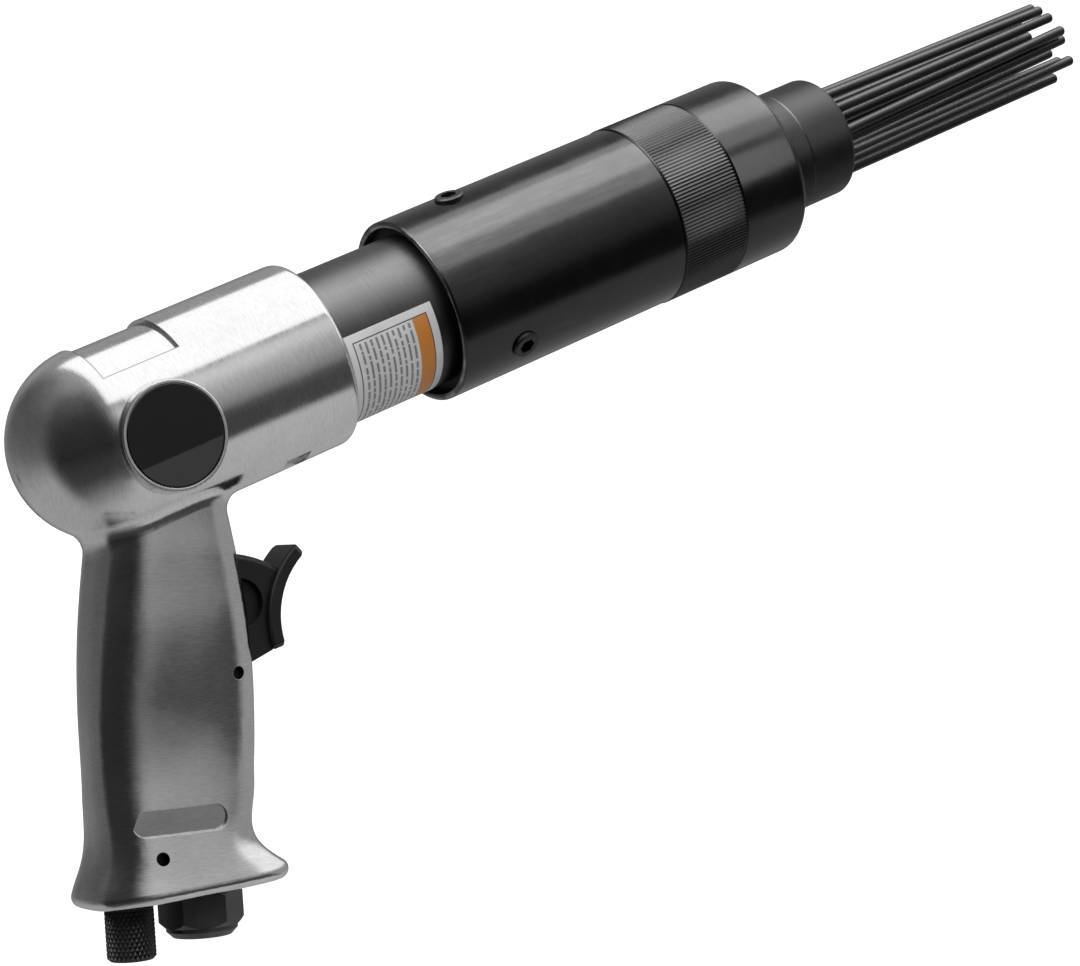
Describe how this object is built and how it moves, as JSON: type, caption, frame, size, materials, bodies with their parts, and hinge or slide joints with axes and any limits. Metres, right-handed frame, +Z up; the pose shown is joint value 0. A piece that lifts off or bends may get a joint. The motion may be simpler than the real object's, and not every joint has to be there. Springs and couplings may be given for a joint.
{
  "type": "pneumatic needle scaler",
  "caption": "Pistol-grip air needle scaler: an air-driven piston hammers a bundle of sliding steel needles in a tubular housing, with trigger, flow regulator and threaded inlet.",
  "frame": {"origin": "on the barrel axis, where the nose collar's straight outer wall ends", "axes": "+X along the barrel axis towards the needle tips, +Z up, -Y the tool's right-hand side"},
  "size_m": [0.3843, 0.0538, 0.1549],
  "materials": {
    "cast_aluminium": "brushed and polished casting",
    "badge_black": "gloss",
    "barrel_steel": "dark satin",
    "housing_steel": "black oxide, satin",
    "screw_steel": "black oxide",
    "needle_steel": "dark drawn steel",
    "hard_steel": "ground",
    "pin_steel": "dark",
    "spring_steel": "spring wire",
    "trigger_plastic": "satin",
    "knob_black": "black anodised, knurled",
    "inlet_black": "black oxide",
    "valve_brass": "machined",
    "seal_rubber": "matt",
    "label_film": "printed film"
  },
  "bodies": {
    "tool_body": {"handle_casing": "cast_aluminium", "badge_disc_right": "badge_black", "badge_disc_left": "badge_black", "cylinder_barrel": "barrel_steel", "barrel_label": "label_film", "valve_case": "hard_steel", "valve_seat": "hard_steel", "valve_dowel": "hard_steel", "anvil_bumper": "seal_rubber", "housing_tube": "housing_steel", "housing_set_screws": "screw_steel", "barrel_seal_ring": "seal_rubber", "front_cap": "housing_steel", "nose_sleeve": "housing_steel", "return_spring": "spring_steel", "trigger_pin": "pin_steel", "throttle_bush": "valve_brass", "throttle_spring": "spring_steel", "regulator_pin": "pin_steel", "inlet_bushing": "inlet_black", "inlet_screen": "valve_brass", "inlet_gasket": "seal_rubber"},
    "trigger": {"trigger": "trigger_plastic"},
    "throttle": {"throttle_stem": "valve_brass", "throttle_washer": "seal_rubber"},
    "regulator": {"regulator_knob": "knob_black", "regulator_seal": "seal_rubber"},
    "piston": {"piston": "hard_steel"},
    "air_valve": {"valve_disc": "hard_steel"},
    "anvil": {"anvil": "hard_steel"},
    "needle_holder": {"needle_holder": "hard_steel"},
    "needle_01": {"needle_01": "needle_steel"},
    "needle_02": {"needle_02": "needle_steel"},
    "needle_03": {"needle_03": "needle_steel"},
    "needle_04": {"needle_04": "needle_steel"},
    "needle_05": {"needle_05": "needle_steel"},
    "needle_06": {"needle_06": "needle_steel"},
    "needle_07": {"needle_07": "needle_steel"},
    "needle_08": {"needle_08": "needle_steel"},
    "needle_09": {"needle_09": "needle_steel"},
    "needle_10": {"needle_10": "needle_steel"},
    "needle_11": {"needle_11": "needle_steel"},
    "needle_12": {"needle_12": "needle_steel"}
  },
  "joints": [
    {"name": "trigger_pivot", "type": "hinge", "parent": "tool_body", "child": "trigger", "pos_m": [-0.2296, 0, -0.06587], "axis": [0, -1, 0], "range_deg": [0, 10], "stiffness_Nm_per_rad": 0.6, "springref_deg": -5.73},
    {"name": "throttle_slide", "type": "slide", "parent": "tool_body", "child": "throttle", "axis": [-0.9455, 0, 0.3256], "range_m": [0, 0.0032], "deforming": ["throttle_spring"]},
    {"name": "regulator_turn", "type": "hinge", "parent": "tool_body", "child": "regulator", "pos_m": [-0.27521, 0, -0.10834], "axis": [-0.3256, 0, -0.9455], "range_deg": [0, 180]},
    {"name": "piston_slide", "type": "slide", "parent": "tool_body", "child": "piston", "axis": [1, 0, 0], "range_m": [0, 0.037]},
    {"name": "valve_slide", "type": "slide", "parent": "tool_body", "child": "air_valve", "axis": [1, 0, 0], "range_m": [0, 0.0012]},
    {"name": "anvil_slide", "type": "slide", "parent": "tool_body", "child": "anvil", "axis": [1, 0, 0], "range_m": [0, 0.008], "stiffness_N_per_m": 3000, "springref_m": -0.006},
    {"name": "holder_slide", "type": "slide", "parent": "tool_body", "child": "needle_holder", "axis": [1, 0, 0], "range_m": [0, 0.008], "deforming": ["return_spring"]},
    {"name": "needle_01_slide", "type": "slide", "parent": "needle_holder", "child": "needle_01", "axis": [0.9998, -0.013, -0.0135], "range_m": [-0.0051, 0.0059]},
    {"name": "needle_02_slide", "type": "slide", "parent": "needle_holder", "child": "needle_02", "axis": [0.9998, 0.0045, -0.0192], "range_m": [-0.003, 0.008]},
    {"name": "needle_03_slide", "type": "slide", "parent": "needle_holder", "child": "needle_03", "axis": [0.9998, 0.0214, -0.0023], "range_m": [-0.0027, 0.0083]},
    {"name": "needle_04_slide", "type": "slide", "parent": "needle_holder", "child": "needle_04", "axis": [0.9996, 0.0186, 0.0191], "range_m": [-0.0039, 0.0071]},
    {"name": "needle_05_slide", "type": "slide", "parent": "needle_holder", "child": "needle_05", "axis": [1, 0.0056, 0.0068], "range_m": [-0.0051, 0.0059]},
    {"name": "needle_06_slide", "type": "slide", "parent": "needle_holder", "child": "needle_06", "axis": [1, -0.0084, 0.0023], "range_m": [-0.0018, 0.0092]},
    {"name": "needle_07_slide", "type": "slide", "parent": "needle_holder", "child": "needle_07", "axis": [0.9996, -0.0141, 0.0237], "range_m": [-0.0089, 0.0021]},
    {"name": "needle_08_slide", "type": "slide", "parent": "needle_holder", "child": "needle_08", "axis": [0.9998, -0.0186, 0.0079], "range_m": [-0.0053, 0.0057]},
    {"name": "needle_09_slide", "type": "slide", "parent": "needle_holder", "child": "needle_09", "axis": [0.9998, -0.0186, -0.0045], "range_m": [-0.0033, 0.0077]},
    {"name": "needle_10_slide", "type": "slide", "parent": "needle_holder", "child": "needle_10", "axis": [0.9999, 0.0056, 0.0158], "range_m": [-0.005, 0.006]},
    {"name": "needle_11_slide", "type": "slide", "parent": "needle_holder", "child": "needle_11", "axis": [0.9999, -0.0169, 0.0006], "range_m": [-0.0037, 0.0073]},
    {"name": "needle_12_slide", "type": "slide", "parent": "needle_holder", "child": "needle_12", "axis": [1, -0.0085, 0], "range_m": [-0.0079, 0.0031]}
  ],
  "couplings": [
    {"joint": "throttle_slide", "follows": "trigger_pivot", "m_per_rad": 0.01787},
    {"joint": "holder_slide", "follows": "anvil_slide", "ratio": 1}
  ]
}
